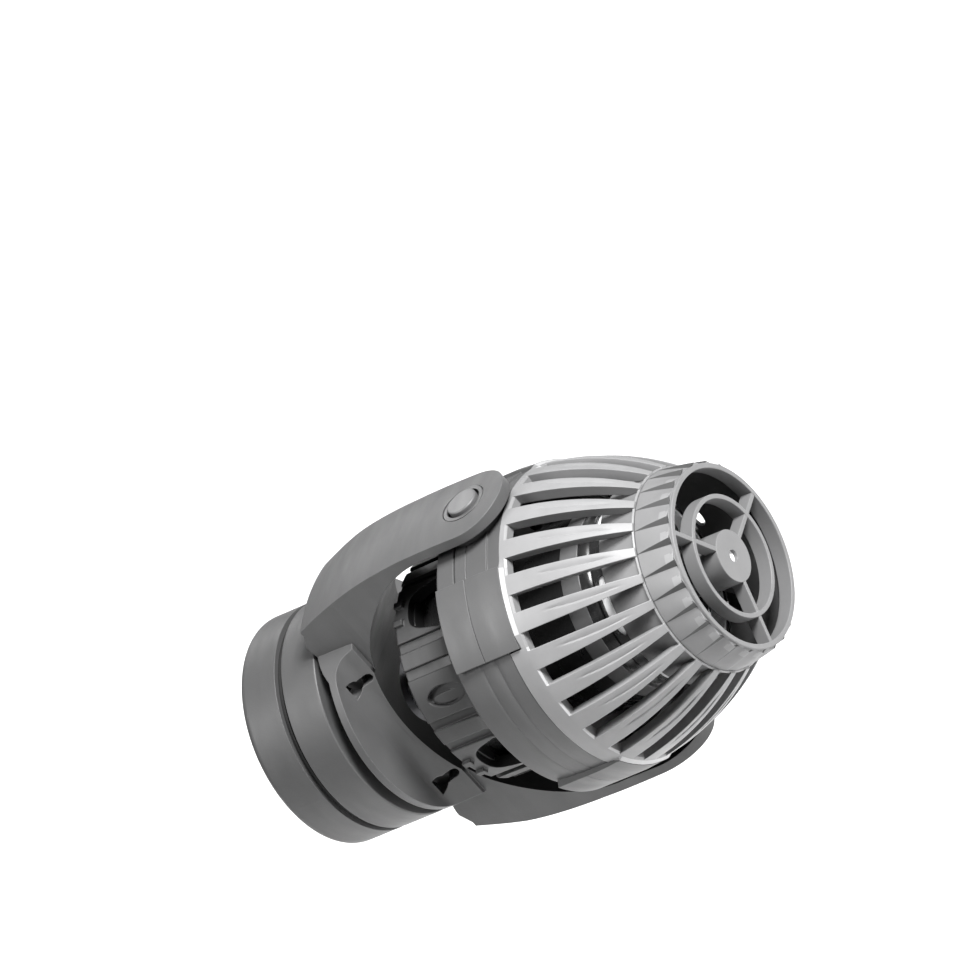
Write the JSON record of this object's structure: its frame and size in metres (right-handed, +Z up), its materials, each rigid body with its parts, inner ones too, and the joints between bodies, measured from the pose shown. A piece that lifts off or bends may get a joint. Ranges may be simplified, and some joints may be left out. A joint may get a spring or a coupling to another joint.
{
  "type": "wave maker pump",
  "caption": "Aquarium wave maker pump: slotted intake cage and guarded outlet nozzle on a propeller motor, tilting in a swivelling yoke on a magnetic glass mount.",
  "frame": {"origin": "centre of the wet magnet's pad, on the face that rests against the glass", "axes": "+Z up along the tilt axis; +Y into the glass, along the pump's axis from the nozzle to the mount; +X completes the right-handed frame"},
  "size_m": [0.0908, 0.1545, 0.1038],
  "materials": {
    "mount_plastic": "satin moulded",
    "cover_plastic": "matt moulded",
    "magnet_nickel": "nickel-plated magnet",
    "pad_rubber": "soft matt rubber",
    "steel": "stainless steel",
    "yoke_plastic": "satin moulded",
    "bush_plastic": "smooth low-friction plastic",
    "damper_rubber": "soft grey rubber",
    "pin_plastic": "satin moulded",
    "shell_plastic": "satin moulded",
    "motor_plastic": "matt moulded",
    "potting_resin": "cast resin",
    "gland_plastic": "matt moulded",
    "can_plastic": "smooth sealed casing",
    "laminations": "stacked electrical steel",
    "copper": "enamelled copper wire",
    "ceramic": "polished ceramic",
    "rotor_magnet": "coated ferrite",
    "prop_plastic": "smooth moulded",
    "cage_plastic": "satin moulded",
    "nozzle_plastic": "satin moulded"
  },
  "bodies": {
    "wet_mount": {"wet_magnet_housing": "mount_plastic", "wet_magnet_cover": "cover_plastic", "wet_magnet": "magnet_nickel", "wet_pad": "pad_rubber", "swivel_washer": "steel", "swivel_screw": "steel"},
    "dry_mount": {"dry_magnet_housing": "mount_plastic", "dry_magnet_cover": "cover_plastic", "dry_magnet": "magnet_nickel", "dry_pad": "pad_rubber"},
    "bracket": {"bracket_yoke": "yoke_plastic", "swivel_bush": "bush_plastic", "rubber_dampers": "damper_rubber", "upper_pivot_pin": "pin_plastic", "lower_pivot_pin": "pin_plastic", "upper_pivot_washer": "bush_plastic", "lower_pivot_washer": "bush_plastic"},
    "pump": {"rear_shell": "shell_plastic", "front_shell": "shell_plastic", "upper_pivot_spacer": "bush_plastic", "lower_pivot_spacer": "bush_plastic", "motor_housing": "motor_plastic", "motor_end_cap": "motor_plastic", "end_cap_gasket": "pad_rubber", "potting_ring": "potting_resin", "housing_screws": "steel", "cable_gland": "gland_plastic", "gland_nut": "gland_plastic", "motor_can": "can_plastic", "rotor_well": "can_plastic", "stator_core": "laminations", "stator_coils": "copper", "rear_bearing": "ceramic", "front_bearing": "ceramic", "bearing_holder": "can_plastic"},
    "rotor": {"rotor_magnet": "rotor_magnet", "rotor_shaft": "ceramic", "thrust_washer": "ceramic", "propeller": "prop_plastic", "propeller_nut": "prop_plastic"},
    "intake_cage": {"cage": "cage_plastic"},
    "outlet_nozzle": {"nozzle": "nozzle_plastic"}
  },
  "joints": [
    {"name": "dry_magnet_pull", "type": "slide", "parent": "wet_mount", "child": "dry_mount", "axis": [0, 1, 0], "range_m": [0, 0.025]},
    {"name": "bracket_swivel", "type": "hinge", "parent": "wet_mount", "child": "bracket", "pos_m": [0, -0.02, 0], "axis": [0, -1, 0], "continuous": true},
    {"name": "pump_tilt", "type": "hinge", "parent": "bracket", "child": "pump", "pos_m": [0, -0.0798, 0], "axis": [0, 0, 1], "range_deg": [-90, 90]},
    {"name": "rotor_spin", "type": "hinge", "parent": "pump", "child": "rotor", "pos_m": [0, -0.12, 0], "axis": [0, -1, 0], "continuous": true},
    {"name": "cage_pull", "type": "slide", "parent": "pump", "child": "intake_cage", "axis": [0, -1, 0], "range_m": [0, 0.03]},
    {"name": "nozzle_twist", "type": "hinge", "parent": "intake_cage", "child": "outlet_nozzle", "pos_m": [0, -0.128, 0], "axis": [0, -1, 0], "range_deg": [0, 20]}
  ]
}
